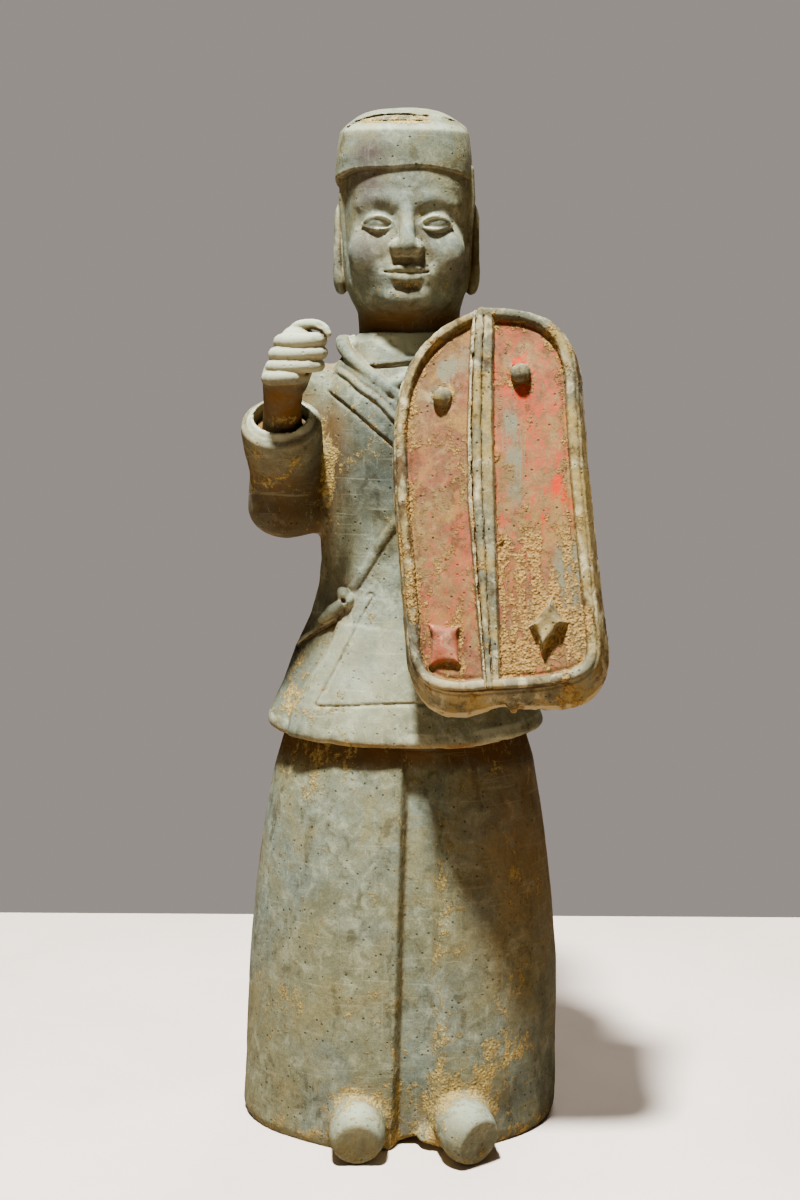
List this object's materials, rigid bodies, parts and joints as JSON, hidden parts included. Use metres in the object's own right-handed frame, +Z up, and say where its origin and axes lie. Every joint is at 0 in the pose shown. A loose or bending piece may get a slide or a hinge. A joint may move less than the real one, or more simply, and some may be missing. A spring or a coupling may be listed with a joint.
{
  "type": "standing clay warrior statue",
  "caption": "Standing clay tomb warrior in a long robe and wrapped jacket, with a flat-topped cap, a raised fist and a long folded shield held at the left side.",
  "frame": {"origin": "centre of the robe's flat underside, on the ground", "axes": "+Z up; the figure faces -Y; its right hand is at -X and its shield at +X"},
  "size_m": [0.2033, 0.1908, 0.599],
  "materials": {
    "grey_clay": "unglazed grey-green earthenware with ochre soil in the recesses, matt",
    "head_clay": "unglazed grey-brown earthenware with grey-mauve patches, matt",
    "hand_clay": "unglazed warm grey earthenware, matt",
    "painted_clay": "worn red pigment over grey clay with crusted ochre soil, matt"
  },
  "bodies": {
    "root": {"body": "grey_clay", "head": "head_clay", "right_hand": "hand_clay", "left_hand": "hand_clay", "shield": "painted_clay"}
  },
  "joints": []
}
